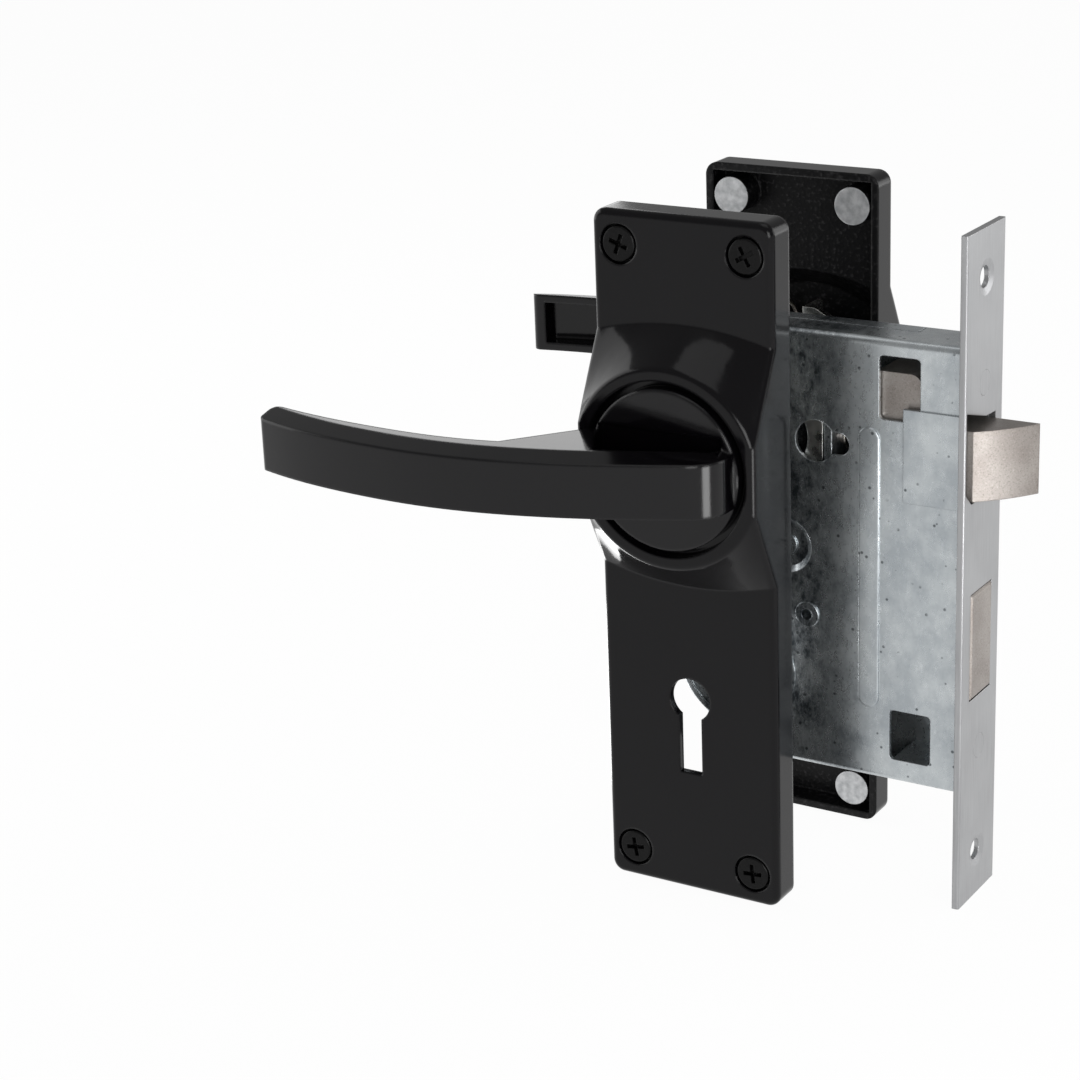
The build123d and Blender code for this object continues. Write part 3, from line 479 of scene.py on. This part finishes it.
class LOCKSET_OT_springs(bpy.types.Operator):
    """Winds the latch spring and the two return springs"""
    bl_idname = "lockset.springs"
    bl_label = "Springs"

    def execute(self, context):
        settings = context.scene.lockset
        low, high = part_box("latch_spring")
        start = Vector((low.x, (low.y + high.y) / 2, (low.z + high.z) / 2))
        spring = wound_spring("latch_coil", settings.latch_spring, start, Vector((1, 0, 0)))
        settle(spring, "root", "spring_steel", "latch_spring")
        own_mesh(spring)
        for side in ("front", "back"):
            low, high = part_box(side + "_return_spring")
            way = Vector((math.cos(RETURN_SPRING_SLOPE), 0, math.sin(RETURN_SPRING_SLOPE)))
            start = (low + high) / 2 - way * settings.return_spring.length / 2
            spring = wound_spring(side + "_return_coil", settings.return_spring, start, way)
            settle(spring, "root", "spring_steel", side + "_return_spring")
            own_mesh(spring)
        return {"FINISHED"}


class LOCKSET_OT_ground_faces(bpy.types.Operator):
    """Grinds the four screw bosses of the back plate to bare zinc faces"""
    bl_idname = "lockset.ground_faces"
    bl_label = "Ground boss faces"

    # The disc's thickness, how far it is let into the boss, and its chamfer
    deep, sunk, chamfer = 0.06 * MM, 0.01 * MM, 0.02 * MM
    # From the bosses' middles to the plate's sides and ends
    from_side, from_end = 6.5 * MM, 7.5 * MM

    def execute(self, context):
        radius = context.scene.lockset.ground_radius
        low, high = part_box("back_plate")
        clear_selection()
        bpy.ops.mesh.primitive_cylinder_add(vertices=48, radius=radius, depth=self.deep,
                                            location=(0, low.y - self.deep / 2 + self.sunk, 0),
                                            rotation=(math.pi / 2, 0, 0))
        first = context.object
        first.name = "boss_ground_faces"
        bpy.ops.object.mode_set(mode="EDIT")
        bpy.ops.mesh.select_all(action="SELECT")
        bpy.ops.mesh.bevel(offset=self.chamfer, segments=1, affect="EDGES")
        bpy.ops.object.mode_set(mode="OBJECT")
        places = [(x, z) for x in (low.x + self.from_side, high.x - self.from_side)
                  for z in (low.z + self.from_end, high.z - self.from_end)]
        faces = [first] + [self.copied(first, context.scene) for _ in places[1:]]
        for face, (x, z) in zip(faces, places):
            face.location.x, face.location.z = x, z
            face.select_set(True)
        context.view_layer.objects.active = first
        bpy.ops.object.join()
        first.data.materials.append(finish_of(ground_zinc_face))
        settle(first, "root", "bright_zinc")
        return {"FINISHED"}

    def copied(self, face, scene):
        """A copy with its own mesh."""
        copy = face.copy()
        copy.data = face.data.copy()
        scene.collection.objects.link(copy)
        return copy


class LOCKSET_OT_stage(bpy.types.Operator):
    """Sets the pale floor, the soft lamps and the camera"""
    bl_idname = "lockset.stage"
    bl_label = "Stage"

    def execute(self, context):
        settings = context.scene.lockset
        self.floor(settings)
        self.lamps(context.scene, settings.lamp_level)
        self.camera(context.scene)
        context.scene.view_settings.view_transform = "Standard"
        return {"FINISHED"}

    def floor(self, settings):
        """A pale floor that keeps the shadow and is seen white by the camera and in reflections."""
        clear_selection()
        bpy.ops.mesh.primitive_plane_add(size=FLOOR_SIZE, location=(0, 0, cad_box[0].z - FLOOR_GAP))
        floor = bpy.context.object
        floor.name = "floor"
        material, tree, shader, place = started("matt_white_board")
        colour = list(settings.floor_colour) + [1.0]
        paler = [min(1, value * 1.02) for value in colour]
        tone = mixed(tree, grain(tree, place, 60, 2), colour, paler)
        fill(tree, shader, Base_Color=tone, Roughness=0.9, Specular_IOR_Level=0.1)
        white = add(tree, "Emission", {"Color": (1, 1, 1, 1), "Strength": 1.0}).outputs["Emission"]
        rays = add(tree, "LightPath").outputs
        mirrored = sum_of(tree, "MAXIMUM", rays["Is Glossy Ray"], rays["Is Transmission Ray"])
        seen = sum_of(tree, "MAXIMUM", rays["Is Camera Ray"], mirrored)
        share = sum_of(tree, "MULTIPLY", seen, WHITE_SHARE)
        both = add(tree, "MixShader", {0: share, 1: shader.outputs["BSDF"], 2: white})
        tree.links.new(both.outputs["Shader"], tree.nodes["Material Output"].inputs["Surface"])
        floor.data.materials.append(material)

    def lamps(self, scene, level):
        """The lamps, all turned to the spindle and unseen by the camera, in an evenly lit room."""
        for name, (place, size, power) in LAMPS.items():
            data = bpy.data.lights.new(name, "AREA")
            data.shape = "RECTANGLE"
            data.size, data.size_y = size
            data.energy = power * level
            lamp = bpy.data.objects.new(name, data)
            lamp.location = place
            lamp.rotation_euler = (SPINDLE - Vector(place)).to_track_quat("-Z", "Y").to_euler()
            lamp.visible_camera = False
            scene.collection.objects.link(lamp)
        world = bpy.data.worlds.new("studio")
        world.use_nodes = True
        tree = world.node_tree
        rays = add(tree, "LightPath").outputs
        white = (1, 1, 1, 1)
        room = add(tree, "Background", {"Color": white, "Strength": ROOM_LIGHT}).outputs["Background"]
        seen = add(tree, "Background", {"Color": white, "Strength": 1.0}).outputs["Background"]
        both = add(tree, "MixShader", {0: rays["Is Camera Ray"], 1: room, 2: seen})
        tree.links.new(both.outputs["Shader"], tree.nodes["World Output"].inputs["Surface"])
        scene.world = world

    def camera(self, scene):
        """The camera at the photograph's viewing angle."""
        data = bpy.data.cameras.new("camera")
        data.lens, data.sensor_width = CAMERA_LENS, CAMERA_SENSOR
        data.clip_start, data.clip_end = 0.01, 20
        yaw, pitch, roll = (math.radians(turn) for turn in CAMERA_TURNS)
        look = Vector((-math.sin(yaw) * math.cos(pitch), math.cos(yaw) * math.cos(pitch), -math.sin(pitch)))
        level = Vector((math.cos(yaw), math.sin(yaw), 0))
        upright = level.cross(look)
        right = level * math.cos(roll) + upright * math.sin(roll)
        top = upright * math.cos(roll) - level * math.sin(roll)
        camera = bpy.data.objects.new("camera", data)
        turned = Matrix((right, top, -look)).transposed().to_4x4()
        camera.matrix_world = Matrix.Translation(CAMERA_PLACE) @ turned
        scene.collection.objects.link(camera)
        scene.camera = camera


class LOCKSET_PT_panel(bpy.types.Panel):
    """Lists the lockset's operators and settings"""
    bl_label = "Lockset"
    bl_space_type = "VIEW_3D"
    bl_region_type = "UI"
    bl_category = "Lockset"

    def draw(self, context):
        settings = context.scene.lockset
        springs = {"Return springs": settings.return_spring, "Latch spring": settings.latch_spring}
        for title, sizes in springs.items():
            box = self.layout.box()
            box.label(text=title)
            for name in ("wire", "radius", "length", "turns"):
                box.prop(sizes, name)
        for name in ("ground_radius", "lamp_level", "floor_colour"):
            self.layout.prop(settings, name)
        for operator in OPERATORS:
            self.layout.operator(operator.bl_idname)


OPERATORS = (LOCKSET_OT_finishes, LOCKSET_OT_springs, LOCKSET_OT_ground_faces, LOCKSET_OT_stage)
CLASSES = (LocksetReturnSpring, LocksetLatchSpring, LocksetSettings) + OPERATORS + (LOCKSET_PT_panel,)


def register():
    for item in CLASSES:
        bpy.utils.register_class(item)
    bpy.types.Scene.lockset = bpy.props.PointerProperty(type=LocksetSettings)


def unregister():
    del bpy.types.Scene.lockset
    for item in reversed(CLASSES):
        bpy.utils.unregister_class(item)


def main():
    """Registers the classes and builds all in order."""
    register()
    bpy.ops.lockset.finishes()
    bpy.ops.lockset.springs()
    bpy.ops.lockset.ground_faces()
    bpy.ops.lockset.stage()


if __name__ == "__main__":
    main()
